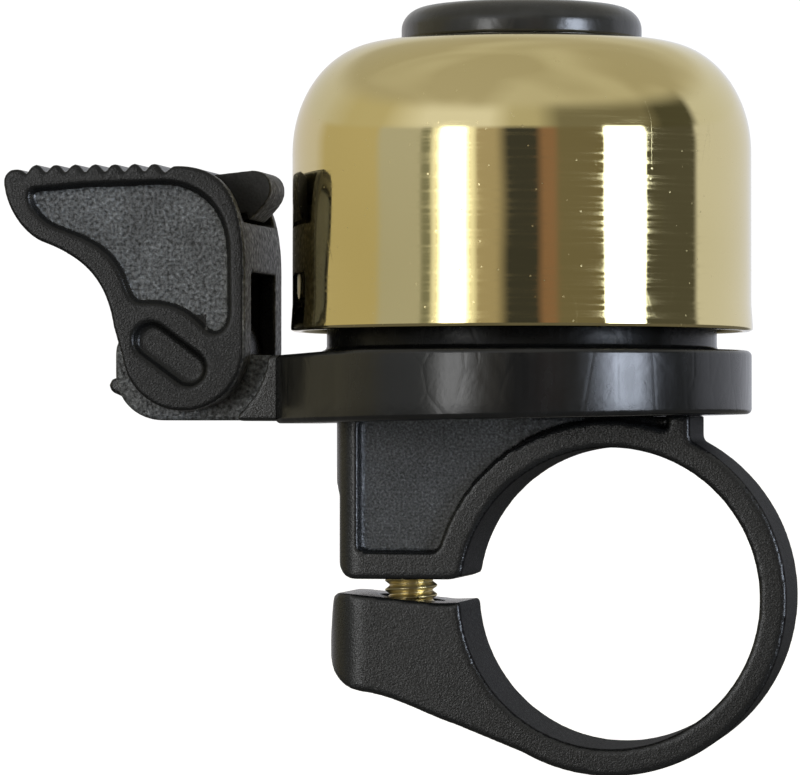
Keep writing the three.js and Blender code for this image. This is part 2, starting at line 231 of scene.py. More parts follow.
def circle(x, z, r, sides):
    return arc(x, z, r, 0, 360 - 360 / sides, sides - 1)


def drum(x, z, r, y0, y1, sides=96):
    """Cylinder along Y."""
    return prism(circle(x, z, r, sides), y0, y1)


def rod(x, r, z0, z1):
    """Cylinder along Z."""
    return prism([(x + p[0], p[1]) for p in circle(0, 0, r, 64)], z0, z1, "Z")


def block(x0, x1, y0, y1, z0, z1):
    return prism([(x0, z0), (x1, z0), (x1, z1), (x0, z1)], y0, y1)


def bake(ob):
    """Applies the modifiers."""
    graph = bpy.context.evaluated_depsgraph_get()
    mesh = bpy.data.meshes.new_from_object(ob.evaluated_get(graph))
    ob.modifiers.clear()
    old = ob.data
    ob.data = mesh
    bpy.data.meshes.remove(old)
    return ob


def boolean(ob, kind, *tools):
    """Joins or cuts with each tool in turn, and tries the faster solver if one leaves nothing."""
    for tool in tools:
        before = ob.data.copy()
        for solver in ("EXACT", "FAST"):
            mod = ob.modifiers.new("boolean", "BOOLEAN")
            mod.operation = kind
            mod.solver = solver
            mod.object = tool
            bake(ob)
            if len(ob.data.vertices):
                break
            ob.data = before.copy()
        bpy.data.objects.remove(tool, do_unlink=True)
    return ob


def minus(ob, *tools):
    return boolean(ob, "DIFFERENCE", *tools)


def common(ob, *tools):
    return boolean(ob, "INTERSECT", *tools)


def merge(name, parts):
    """Several meshes in one object, materials kept."""
    bm = bmesh.new()
    mats = []
    for ob in parts:
        mapping = []
        for mat in ob.data.materials:
            if mat not in mats:
                mats.append(mat)
            mapping.append(mats.index(mat))
        start = len(bm.faces)
        bm.from_mesh(ob.data)
        bm.faces.ensure_lookup_table()
        for face in bm.faces[start:]:
            face.material_index = mapping[face.material_index] if mapping else 0
        bpy.data.objects.remove(ob, do_unlink=True)
    mesh = bpy.data.meshes.new(name)
    bm.to_mesh(mesh)
    bm.free()
    for mat in mats:
        mesh.materials.append(mat)
    return link_object(name, mesh)


def moulded(ob, voxel, smooth):
    """Fuses overlapping bodies in one skin and softens every edge, as a moulding has them."""
    mod = ob.modifiers.new("remesh", "REMESH")
    mod.mode = "VOXEL"
    mod.voxel_size = voxel
    mod.use_smooth_shade = True
    mod = ob.modifiers.new("smooth", "SMOOTH")
    mod.factor = 0.5
    mod.iterations = smooth
    return bake(ob)


def paint(ob, material, where):
    """Gives the faces for which where(centre, normal) holds a material of their own."""
    ob.data.materials.append(material)
    index = len(ob.data.materials) - 1
    for poly in ob.data.polygons:
        if where(poly.center, poly.normal):
            poly.material_index = index


def side_face(y):
    """Test for faces that look sideways and lie at the distance y from the middle plane."""
    return lambda c, n: abs(n.y) > 0.75 and abs(abs(c.y) - y) < 0.14


def finish(ob, name, material, body, replaces):
    """Scales to metres, shades smooth and hands the piece to the frame; a bending piece has no body."""
    ob.name = name
    ob.data.name = name
    for v in ob.data.vertices:
        v.co *= MM
    ob.data.shade_smooth()
    if material is not None:
        ob.data.materials.clear()
        ob.data.materials.append(material)
    if body:
        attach(ob, body)
    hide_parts(*replaces)


# ---------------------------------------------------------------- materials
class Nodes:
    """A short way to write a node tree."""

    def __init__(self, name):
        self.mat = bpy.data.materials.new(name)
        self.mat.use_nodes = True
        self.tree = self.mat.node_tree
        self.bsdf = self.tree.nodes["Principled BSDF"]
        self.coord = self.tree.nodes.new("ShaderNodeTexCoord").outputs["Object"]

    def add(self, kind, **values):
        node = self.tree.nodes.new(kind)
        for key, value in values.items():
            setattr(node, key, value)
        return node

    def link(self, a, b):
        self.tree.links.new(a, b)

    def stretched(self, x, y, z):
        node = self.add("ShaderNodeMapping")
        node.inputs["Scale"].default_value = (x, y, z)
        self.link(self.coord, node.inputs["Vector"])
        return node.outputs["Vector"]

    def noise(self, scale, detail, rough=0.5, vector=None, distortion=0.0):
        node = self.add("ShaderNodeTexNoise")
        node.inputs["Scale"].default_value = scale
        node.inputs["Detail"].default_value = detail
        node.inputs["Roughness"].default_value = rough
        node.inputs["Distortion"].default_value = distortion
        self.link(vector or self.coord, node.inputs["Vector"])
        return node.outputs["Fac"]

    def voronoi(self, scale, feature="F1", vector=None):
        node = self.add("ShaderNodeTexVoronoi", feature=feature)
        node.inputs["Scale"].default_value = scale
        self.link(vector or self.coord, node.inputs["Vector"])
        return node.outputs["Distance"]

    def ramp(self, fac, stops):
        node = self.add("ShaderNodeValToRGB")
        ramp = node.color_ramp
        while len(ramp.elements) < len(stops):
            ramp.elements.new(0.5)
        for element, (pos, color) in zip(ramp.elements, stops):
            element.position = pos
            element.color = (*color, 1)
        self.link(fac, node.inputs["Fac"])
        return node.outputs["Color"]

    def remap(self, value, a, b, low, high):
        node = self.add("ShaderNodeMapRange")
        node.inputs["From Min"].default_value = a
        node.inputs["From Max"].default_value = b
        node.inputs["To Min"].default_value = low
        node.inputs["To Max"].default_value = high
        self.link(value, node.inputs["Value"])
        return node.outputs["Result"]

    def math(self, kind, a, b=0.0):
        node = self.add("ShaderNodeMath", operation=kind)
        for k, value in enumerate((a, b)):
            if isinstance(value, (int, float)):
                node.inputs[k].default_value = value
            else:
                self.link(value, node.inputs[k])
        return node.outputs["Value"]

    def bump(self, height, distance, strength):
        node = self.add("ShaderNodeBump")
        node.inputs["Distance"].default_value = distance
        node.inputs["Strength"].default_value = strength
        self.link(height, node.inputs["Height"])
        return node.outputs["Normal"]

    def set(self, **values):
        """Sets or links the shader's own sockets."""
        for key, value in values.items():
            socket = self.bsdf.inputs[key.replace("_", " ")]
            if isinstance(value, (int, float)):
                socket.default_value = value
            elif isinstance(value, tuple):
                socket.default_value = (*value, 1)
            else:
                self.link(value, socket)
        return self.mat


def spark_plastic(name, dark, light, rough=(0.34, 0.5), bump=1.0, scale=6500, shine=0.5):
    """Moulding with the fine grain of a spark-eroded tool."""
    n = Nodes(name)
    grain = n.noise(scale, 2, 0.6)
    pits = n.voronoi(scale * 0.8)
    broad = n.noise(170, 4, 0.6)
    height = n.math("ADD", grain, n.math("MULTIPLY", pits, 0.6))
    normal = n.bump(height, 0.00003 * bump, 1.0)
    tone = n.math("ADD", n.math("MULTIPLY", grain, 0.7), n.math("MULTIPLY", broad, 0.3))
    middle = tuple(d + (v - d) * 0.35 for d, v in zip(dark, light))
    color = n.ramp(tone, [(0.40, dark), (0.56, middle), (0.7, light)])
    return n.set(
        Base_Color=color,
        Roughness=n.remap(grain, 0.35, 0.65, rough[1], rough[0]),
        Normal=normal,
        Specular_IOR_Level=shine,
    )


def smooth_plastic(name, dark, light, rough, shine):
    """Nearly polished moulding with faint flow marks and small scratches."""
    n = Nodes(name)
    flow = n.noise(230, 5, 0.6, distortion=0.6)
    fine = n.noise(1900, 3, 0.6)
    marks = n.noise(900, 2, 0.5, vector=n.stretched(1, 1, 0.12))
    cracks = n.voronoi(420, "DISTANCE_TO_EDGE", vector=n.stretched(1, 1, 0.5))
    height = n.math("ADD", n.math("MULTIPLY", flow, 0.8), n.math("MULTIPLY", fine, 0.18))
    height = n.math("ADD", height, n.math("MULTIPLY", n.remap(cracks, 0, 0.08, 0, 1), 0.12))
    normal = n.bump(height, 0.00005, 0.8)
    tone = n.math("ADD", n.math("MULTIPLY", flow, 0.5), n.math("MULTIPLY", marks, 0.5))
    color = n.ramp(tone, [(0.36, dark), (0.68, light)])
    return n.set(
        Base_Color=color,
        Roughness=n.remap(tone, 0.35, 0.7, rough[0], rough[1]),
        Normal=normal,
        Specular_IOR_Level=shine,
    )


def polished_brass():
    """Spun and buffed brass: turning lines, curved hair scratches, small pits and slow waves."""
    n = Nodes("polished_brass")
    waves = n.noise(55, 2, 0.4)
    hoops = n.noise(3800, 2, 0.55, vector=n.stretched(0.04, 0.04, 1))
    hair = n.noise(210, 1, 0.5, vector=n.stretched(1, 1, 0.45), distortion=0.5)
    thin = n.remap(n.math("ABSOLUTE", n.math("SUBTRACT", hair, 0.5)), 0, 0.0035, 1, 0)
    patches = n.remap(n.noise(95, 2, 0.5), 0.52, 0.64, 0, 1)
    scratch = n.math("MULTIPLY", thin, patches)
    pits = n.remap(n.voronoi(1100), 0.05, 0.11, 1, 0)
    height = n.math("SUBTRACT", waves, n.math("MULTIPLY", scratch, 0.0025))
    height = n.math("SUBTRACT", height, n.math("MULTIPLY", pits, 0.003))
    normal = n.bump(height, 0.00035, 0.5)
    color = n.ramp(waves, [(0.35, (0.63, 0.535, 0.265)), (0.65, (0.69, 0.59, 0.31))])
    rough = n.math("ADD", n.remap(hoops, 0.38, 0.66, 0.025, 0.12), n.math("MULTIPLY", scratch, 0.2))
    rough = n.math("ADD", rough, n.math("MULTIPLY", pits, 0.25))
    return n.set(Base_Color=color, Metallic=1.0, Roughness=rough, Normal=normal)


def plated(name, dull, bright):
    """Plated or plain steel with faint stains."""
    n = Nodes(name)
    stain = n.noise(420, 4, 0.6)
    fine = n.noise(2800, 2, 0.5)
    color = n.ramp(stain, [(0.35, dull), (0.65, bright)])
    rough = n.remap(stain, 0.3, 0.7, 0.25, 0.42)
    return n.set(Base_Color=color, Metallic=1.0, Roughness=rough, Normal=n.bump(fine, 0.00001, 0.6))


def grey(value):
    """A black plastic's colour: very slightly cold."""
    return (value, value * 1.07, value * 1.11)


MOULDED = spark_plastic(
    "moulded_plastic", grey(0.0045), grey(0.020), rough=(0.20, 0.34), bump=0.55, scale=9500, shine=0.46
)
LEVER = spark_plastic(
    "lever_plastic", grey(0.0035), grey(0.012), rough=(0.24, 0.38), bump=0.6, scale=8500, shine=0.29
)
# Painted sheen: the coarser, rougher grain of the pocket floors is real, but this colour is far lighter
# than the black plastic, standing in for the light the floors catch.
FLOOR_SHEEN = spark_plastic(
    "floor_sheen_plastic", grey(0.016), grey(0.25), rough=(0.24, 0.42), bump=3.4, scale=3600
)
# Painted sheen: the recess floors keep a coarser, rougher grain, but their colour is far lighter than the
# black plastic, standing in for the light they catch.
RECESS_SHEEN = spark_plastic(
    "recess_sheen_plastic", grey(0.011), grey(0.145), rough=(0.28, 0.46), bump=2.4, scale=5600
)
# Painted shade: a near-black, matt copy of the plastic for the hammer's flat sides, which sit in shadow
# between the lever's cheeks.
HAMMER_SIDE_SHADE = spark_plastic(
    "hammer_side_shade_plastic", (0.004, 0.004, 0.0037), (0.008, 0.008, 0.0074), rough=(0.5, 0.65), bump=0.4
)
# Painted light: a much lighter copy of the black plastic, for the lever's faces turned towards the window
# at +X and for the hammer's top and ends.
LIT_SIDE_SHEEN = spark_plastic(
    "lit_side_sheen_plastic", (0.028, 0.028, 0.026), (0.21, 0.206, 0.19),
    rough=(0.45, 0.65), bump=1.4, scale=2600, shine=0.35
)
# Painted shade: a near-black copy of the plastic with almost no sheen, for the bore and the ring's
# outside, which lie in the shade under the disc.
RING_SHADE = spark_plastic(
    "ring_shade_plastic", (0.003, 0.003, 0.003), (0.007, 0.0065, 0.0065),
    rough=(0.62, 0.8), bump=0.8, shine=0.1
)
SMOOTH = smooth_plastic(
    "smooth_black_plastic", (0.004, 0.0042, 0.0043), (0.0085, 0.0088, 0.009), rough=(0.2, 0.31), shine=0.47
)
# Painted shade: a darker copy of the smooth plastic with less sheen, for the neck in the shadow of the
# dome's rim.
NECK_SHADE = smooth_plastic(
    "neck_shade_plastic", (0.003, 0.003, 0.0028), (0.006, 0.006, 0.0056), rough=(0.22, 0.32), shine=0.14
)
CAP = smooth_plastic(
    "cap_plastic", (0.018, 0.018, 0.0165), (0.026, 0.0255, 0.0235), rough=(0.2, 0.3), shine=0.45
)
BRASS = polished_brass()
ZINC = plated("yellow_zinc", (0.50, 0.40, 0.18), (0.72, 0.62, 0.36))
STEEL = plated("bright_steel", (0.42, 0.42, 0.42), (0.62, 0.62, 0.61))
FIBRE = spark_plastic("seat_rubber", (0.012, 0.012, 0.012), (0.03, 0.03, 0.03))


# ---------------------------------------------------------------- dome and cap
def build_dome():
    """Spun shell: a straight flank, an elliptical shoulder, a flat top with a screw hole, a rolled rim."""
    across, up, hole_r, wall = 6.8, 8.2, 2.3, 0.9
    centre_r, centre_z = DOME_R - across, DOME_TOP - up
    flank_in = 0.12
    flank_z = RIM_Z + 0.6
    outer = [(DOME_R - 0.02, RIM_Z + 0.12), (DOME_R, RIM_Z + 0.3), (DOME_R - 0.02, flank_z)]
    for i in range(1, 9):
        outer.append((DOME_R - flank_in, flank_z + (centre_z - flank_z) * i / 9))
    outer += arc(centre_r, centre_z, across - flank_in, 0, 90, 30, up)
    outer += [(7.0, DOME_TOP), (5.0, DOME_TOP), (hole_r, DOME_TOP)]
    inner = [(hole_r, DOME_TOP - wall), (6.0, DOME_TOP - wall)]
    inner += arc(centre_r, centre_z, across - wall, 90, 0, 24, up - wall)
    inner += [(DOME_R - wall, RIM_Z + 0.4), (DOME_R - wall + 0.1, RIM_Z + 0.1)]
    rim = [(DOME_R - wall + 0.3, RIM_Z), (DOME_R - 0.25, RIM_Z)]
    ob = revolve(outer + inner + rim, BELL_X, 288)
    finish(ob, "brass_dome", BRASS, "base", ["dome"])


def build_cap():
    """Low round cap, crowned on top; inside are a skirt and a ring round the dome's screw."""
    z, top = cap_low.z, cap_high.z
    outer = [(CAP_R - 0.15, z), (CAP_R - 0.03, z + 0.06), (CAP_R, z + 0.2), (CAP_R, z + 0.55)]
    outer += [(CAP_R, z + 0.8)]
    outer += arc(CAP_R - 1.9, z + 0.85, 1.9, 6, 88, 18, top - z - 1.02)
    for i in range(1, 12):
        t = i / 11
        outer.append(((CAP_R - 1.85) * (1 - t), top - 0.16 + 0.16 * (1 - (1 - t) ** 2)))
    inner_ring = [(0, top - 0.7), (4.9, top - 0.9), (4.9, z + 0.1), (5.6, z + 0.1), (5.6, top - 1.0)]
    skirt = [(7.4, top - 1.2), (8.1, z + 0.8), (8.1, z)]
    ob = revolve(outer + inner_ring + skirt, BELL_X, 192)
    finish(ob, "screw_cap_cover", CAP, "base", ["top_cap"])


# ---------------------------------------------------------------- base moulding
def web_outline():
    """Disc in plan, with the straight flanks that run on to the lever's root."""
    start_x, start_y, run, drop = -19.8, 12.1, 4.8, 5.1
    end_x = start_x - run
    flank = [(start_x - run * t, start_y - drop * t) for t in (0.15, 0.5, 0.85)]
    points = arc(BELL_X, 0, DISC_R, -134.6, 134.6, 150)
    points += flank
    points += [(end_x, LEVER_HALF), (end_x, 0.0), (end_x, -LEVER_HALF)]
    points += [(x, -y) for x, y in reversed(flank)]
    return points


def build_disc():
    """Round plate with rounded edges; its underside tilts a little and its top sinks at the root."""
    edge, tilt, sink, sink_x, sink_run = 0.42, 0.02, 0.35, -17, 7.6
    outline = web_outline()
    n = len(outline)
    outward = []
    for i in range(n):
        along = (Vector(outline[(i + 1) % n]) - Vector(outline[i - 1])).normalized()
        outward.append(Vector((along.y, -along.x)))
    turns = [math.radians(-90 + 15 * k) for k in range(7)]
    stations = [("low", math.cos(t), math.sin(t)) for t in turns]
    stations += [("middle", 1.0, share) for share in (0.25, 0.5, 0.75)]
    stations += [("high", math.cos(t), -math.sin(t)) for t in reversed(turns)]
    bm = bmesh.new()
    rows = []
    for kind, reach, rise in stations:
        row = []
        for p, out in zip(outline, outward):
            q = Vector(p) - out * edge * (1 - reach)
            z0 = DISC_Z0 + 0.12 + tilt * (p[0] - BELL_X)
            z1 = DISC_Z1 - sink * max(0.0, min(1.0, (sink_x - p[0]) / sink_run))
            if kind == "low":
                z = z0 + edge + edge * rise
            elif kind == "high":
                z = z1 - edge + edge * rise
            else:
                z = z0 + edge + (z1 - z0 - 2 * edge) * rise
            row.append(bm.verts.new((q.x, q.y, z)))
        rows.append(row)
    for a, b in zip(rows, rows[1:]):
        for i in range(n):
            m = (i + 1) % n
            bm.faces.new((a[i], a[m], b[m], b[i]))
    bm.faces.new(rows[0])
    bm.faces.new(rows[-1])
    bmesh.ops.triangulate(bm, faces=[f for f in bm.faces if len(f.verts) > 4])
    disc = made("disc", bm)
    disc.data.materials.append(SMOOTH)
    return disc


def build_neck():
    """Hollow neck under the dome and, inside it, the tapered post with the bore for the dome's screw."""
    z, fillet = DISC_Z1, 0.35
    foot_r, wall_r = NECK_R + fillet, NECK_R - 1.2
    bore_r, bore_end = 2.0, 28
    profile = [(0, z - 2), (foot_r, z - 2), (foot_r, z)]
    for t in (0.5, 1.0, 1.5):
        profile.append((foot_r - fillet * math.sin(t), z + fillet - fillet * math.cos(t)))
    profile += [(NECK_R, z + 2), (NECK_R, z + 3.9), (NECK_R - 0.15, z + 4.1), (NECK_R - 1.1, z + 4.1)]
    profile += [(wall_r, z + 3.9), (wall_r, z - 1.6), (5.7, z - 1.6), (4.4, z + 0.3), (4.0, z + 20.9)]
    profile += [(3.8, z + 21.1), (bore_r, z + 21.1), (bore_r, bore_end), (0, bore_end)]
    neck = revolve(profile, BELL_X, 192, closed=False)
    # Painted shade over the whole neck.
    neck.data.materials.append(NECK_SHADE)
    return neck


def tongue_outline():
    """Side view of the tongue that stands up between the lever's cheeks."""
    px, pz = PIVOT.x, PIVOT.z
    z0 = DISC_Z0
    points = [(-22, z0), (-22, 18.0), (px + 2, 18.0), (px, pz + 3.6), (-35.2, 20.6)]
    points += quadratic((-35.2, 20.6), (-37.4, 20.0), (-37.5, 18.2))
    points += [(-37.5, 16.4)]
    points += bezier((-37.5, 16.4), (-37.4, 14.6), (-35.9, z0), (-33.9, z0))
    return points


def lug_plan(x0, x1, r):
    """Plan of a clamp lug as wide as the band, rounded at its free end."""
    points = [(x1, -BAND_HALF), (x1, BAND_HALF)]
    points += arc(x0 + r, BAND_HALF - r, r, 90, 180, 10)
    points += arc(x0 + r, r - BAND_HALF, r, 180, 270, 10)
    return points


def ring(start, end):
    """Part of the clamp ring, from one angle to the other."""
    outline = arc(0, 0, RING_R, start, end, 90) + arc(0, 0, BORE_R, end, start, 90)
    return prism(outline, -BAND_HALF, BAND_HALF)


def build_tongue():
    """Tongue with its eye, a nib on its outer edge, the pin's hole and a well for the return spring."""
    px, pz = PIVOT.x, PIVOT.z
    half, well_floor = TONGUE_HALF, 1.1
    body = prism(tongue_outline(), -half, half)
    eye = drum(px, pz, 3.6, -half, half, 64)
    nib = prism(arc(-38.0, 15.75, 0.62, 60, 245, 12) + [(-36.4, 14.4), (-36.4, 16.0)], -1.5, 1.5)
    tongue = boolean(body, "UNION", eye, nib)
    pin_hole = drum(px, pz, PIN_HOLE_R, -5, 5, 48)
    well = drum(px, pz, 2.95, well_floor, 5, 48)
    lower_leg_slot = block(px - 0.3, -27.2, well_floor, 5, 15.4, 16.9)
    upper_leg_slot = block(px - 3.1, px - 1.6, well_floor, 5, pz, 23)
    return minus(tongue, pin_hole, well, lower_leg_slot, upper_leg_slot)


def build_root():
    """Full-width web between disc and tongue, hollowed to clear the lever's heel."""
    near_x, far_x = -23.5, -27.5
    plan = [(near_x, -LEVER_HALF), (near_x, LEVER_HALF), (far_x, LEVER_HALF), (far_x, -LEVER_HALF)]
    root = prism(plan, DISC_Z0 - 0.05, 17.95, "Z")
    return minus(root, drum(PIVOT.x, PIVOT.z, 6.5, -8, 8, 96))


def build_block():
    """Upper clamp block with a framed recess on each side and a groove along the recess's edge."""
    x0, z0, z1 = -20.7, 1.3, 3.3
    step_x, corner = x0 + 0.35, 1.3
    side = [(-6, 14), (x0, 14), (x0, 8.6), (step_x, 7.6), (step_x, z0 + corner)]
    side += arc(x0 + 1.65, z0 + corner, corner, 180, 270, 8)
    side += [(-11.9, z0)] + quadratic((-11.9, z0), (-10.9, z0 + 0.1), (-10.7, z0 + 1.2))
    side += [(-6, 8)]
    body = common(prism(lug_plan(x0, -5, 2.0), 0, 14, "Z"), prism(side, -6, 6))
    top = DISC_Z0 + 0.3
    corner_x, corner_z = -12.6, 3.7
    start = math.degrees(math.atan2(corner_z, corner_x))
    recess = [(-18.35, top), (-18.35, z1), (-13.2, z1)]
    recess += quadratic((-13.2, z1), (-12.75, z1), (corner_x, corner_z), 6)
    recess += arc(0, 0, RING_R, start, 104, 30)[1:]
    recess += [(-3.2, top)]
    minus(body, prism(recess, -6, RECESS_DEPTH - BAND_HALF), prism(recess, BAND_HALF - RECESS_DEPTH, 6))
    groove = 1.15 - BAND_HALF
    minus(
        body,
        block(-18.75, -18.3, -6, groove, z1 + 0.1, DISC_Z0 + 0.2),
        block(-18.75, -18.3, -groove, 6, z1 + 0.1, DISC_Z0 + 0.2),
        drum(0, 0, BORE_R, -7, 7, 128),
    )
    return body


def build_lug():
    """Lower clamp lug, which runs on into the strap."""
    top = [(-10.3, -0.75), (-11.9, -0.55), (-20.2, 0.28)]
    outline = top + quadratic((-20.2, 0.28), (-20.9, 0.28), (-20.95, -0.5))
    outline += [(-21.3, -3.5)]
    outline += bezier((-21.3, -3.5), (-21.4, -5.6), (-20.2, -6.9), (-18.2, -7.1))
    outline += bezier((-18.2, -7.1), (-15.9, -7.4), (-13.5, -8.8), (-11.5, -9.4))
    outline += [(-3.96, -12.4), (-4, -10.5)]
    body = common(prism(outline, -6, 6), prism(lug_plan(-21.3, 0, 2.9), -14, 1, "Z"))
    return minus(body, drum(0, 0, BORE_R, -7, 7, 128))


def shaded_ring_face(c, n):
    """True on the bore, on the outside of the ring and on the end of the web over it: the faces that get
    painted shade.
    """
    r = math.hypot(c.x, c.z)
    outside = c.x > 0 and (abs(r - RING_R) < 0.25 or (n.x > 0.5 and r > RING_R))
    return abs(n.y) < 0.75 and (abs(r - BORE_R) < 0.22 or outside)


def split_band(fused):
    """Moves the strap and the lower lug to a skin of their own, cut where the strap starts to bend."""
    far = bmesh.new()
    far.from_mesh(fused.data)
    near = far.copy()

    def in_band(face):
        c = face.calc_center_median()
        if c.x > 3 and math.hypot(c.x, c.z) < RING_R + 1:
            return math.degrees(math.atan2(c.z, c.x)) < 58
        return c.z < 0.85 + 0.02 * (c.x + 20)

    bmesh.ops.delete(far, geom=[f for f in far.faces if not in_band(f)], context="FACES")
    bmesh.ops.delete(near, geom=[f for f in near.faces if in_band(f)], context="FACES")
    near.to_mesh(fused.data)
    near.free()
    mesh = bpy.data.meshes.new("band")
    far.to_mesh(mesh)
    far.free()
    for material in fused.data.materials:
        mesh.materials.append(material)
    return link_object("band", mesh)


def build_base():
    """The moulding as the real bell has it, in two skins: the base, and the strap that bends."""
    nut_half, hole_r, lug_hole_r, counterbore_r = 4.2, 2.5, 2.35, 4.15
    block_body = build_block()
    nut_pocket = block(SCREW_X - nut_half, SCREW_X + nut_half, -3.65, 6, 7.2, 10.8)
    minus(block_body, rod(SCREW_X, hole_r, 0, 13.4), nut_pocket)
    lug = build_lug()
    minus(lug, rod(SCREW_X, lug_hole_r, -9, 2), rod(SCREW_X, counterbore_r, -12, -3.88))
    parts = [
        build_tongue(),
        build_root(),
        block_body,
        ring(-178, 172),
        block(-8, 6.0, -4.2, 4.2, 11.6, 13.4),
        block(4.4, 6.0, -BAND_HALF, BAND_HALF, 11.5, 13.5),
        lug,
    ]
    fused = moulded(merge("moulding", parts), 0.2, 4)
    fused.data.materials.append(MOULDED)
    sunk_side = side_face(BAND_HALF - RECESS_DEPTH)
    # Painted sheen on the floors of the block's recesses.
    paint(fused, RECESS_SHEEN, lambda c, n: -18.6 < c.x < -2 and 3 < c.z < 13.4 and sunk_side(c, n))
    # Painted light on the tongue's sides, lifting the shade that falls under the lever.
    paint(fused, FLOOR_SHEEN, lambda c, n: c.x < -21 and sunk_side(c, n))
    # Painted shade on the bore, the ring's outside and the end of the web over it.
    paint(fused, RING_SHADE, shaded_ring_face)
    band = split_band(fused)
    skin = merge("base", [fused, build_disc(), build_neck()])
    finish(skin, "base_moulding", None, "base", ["base_body"])
    finish(band, "clamp_strap", None, None, ["clamp_band"])
    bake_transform(band)


# ---------------------------------------------------------------- lever and hammer
def lever_outline():
    """Side view: round heel, straight back, curved shoulder, scalloped top, blunt tip, concave front."""
    px, pz, heel_r = PIVOT.x, PIVOT.z, 4.7
    scallops, pitch, first_x, valley = 7, 1.51, -33.1, 31.5
    back_x = px + heel_r
    points = arc(px, pz, heel_r, 187, 360, 40)
    points += [(back_x, 21.0), (back_x, 23.4)]
    points += bezier((back_x, 23.4), (-26.85, 28.8), (-27.9, 32.15), (-32.4, 32.05), 24)
    points += [(first_x, valley)]
    for i in range(scallops):
        x = first_x - i * pitch
        points += quadratic((x, valley), (x - pitch / 2, valley + 1.5), (x - pitch, valley), 8)
    last_x = first_x - scallops * pitch
    points += quadratic((last_x, valley), (-44.0, 32.1), (-44.9, 31.85), 6)
    points += quadratic((-44.9, 31.85), (-45.5, 31.5), (-45.4, 30.8), 6)
    points += bezier((-45.4, 30.8), (-45.2, 29.0), (-44.0, 27.2), (-42.5, 26.5), 14)
    points += bezier((-42.5, 26.5), (-39.2, 25.3), (-37.5, 23.6), (-36.95, 20.1), 18)
    return points


def lever_cavity():
    """Side view of the hollow between the cheeks."""
    points = arc(PIVOT.x, PIVOT.z, 3.5, 180, 360, 30)
    points += [(-28.15, 23.5)]
    points += bezier((-28.15, 23.5), (-28.1, 28.0), (-29.3, 30.7), (-32.6, 30.6))
    points += [(-43.6, 30.4)]
    points += bezier((-43.6, 30.4), (-43.9, 29.2), (-43.2, 28.2), (-41.9, 27.6))
    points += bezier((-41.9, 27.6), (-38.6, 26.3), (-36.3, 24.4), (-35.7, 20.3))
    return points


def side_pocket():
    """The large pocket in each cheek."""
    points = [(-42.9, 30.5), (-39.2, 30.8), (-33.4, 30.95)]
    points += bezier((-33.4, 30.95), (-30.2, 31.0), (-28.1, 28.8), (-28.1, 25.5), 16)
    points += [(-28.05, 21.2)]
    points += bezier((-28.05, 21.2), (-28.1, 19.5), (-29.3, 19.0), (-30.2, 20.0), 12)
    points += bezier((-30.2, 20.0), (-31.4, 21.3), (-32.6, 21.8), (-34.2, 21.8), 10)
    points += bezier((-34.2, 21.8), (-35.6, 21.7), (-35.7, 22.0), (-36.3, 23.7), 10)
    points += bezier((-36.3, 23.7), (-37.2, 25.9), (-39.0, 26.6), (-41.2, 27.4), 12)
    points += bezier((-41.2, 27.4), (-42.6, 27.9), (-43.6, 29.2), (-43.45, 30.1), 10)
    points += quadratic((-43.45, 30.1), (-43.3, 30.5), (-42.9, 30.5), 6)[:-1]
    return points


def heel_pocket():
    """The small slot-shaped pocket over the pivot, between two round ends."""
    r, upper, lower = 1.38, (-34.09, 19.08), (-31.24, 16.98)
    tilt = math.degrees(math.atan2(-2.1, 2.85))
    return arc(*upper, r, tilt + 90, tilt + 270, 20) + arc(*lower, r, tilt - 90, tilt + 90, 20)


def sunk(outline, face, depth):
    """Cutter for a pocket with sloping walls, from the face to its floor."""
    floor_line = inset(outline, 0.34)
    top = [Vector((x, face - depth, z)) for x, z in outline]
    rim = [Vector((x, face + 0.15 * depth, z)) for x, z in outline]
    bottom = [nearest(p, floor_line, face + depth) for p in outline]
    bm = bmesh.new()
    rows = [[bm.verts.new(v) for v in row] for row in (top, rim, bottom)]
    n = len(outline)
    for a, b in zip(rows, rows[1:]):
        for i in range(n):
            m = (i + 1) % n
            bm.faces.new((a[i], a[m], b[m]))
            bm.faces.new((a[i], b[m], b[i]))
    bm.faces.new(rows[0])
    bm.faces.new(list(reversed(rows[-1])))
    bmesh.ops.triangulate(bm, faces=[f for f in bm.faces if len(f.verts) > 4])
    return made("pocket", bm)


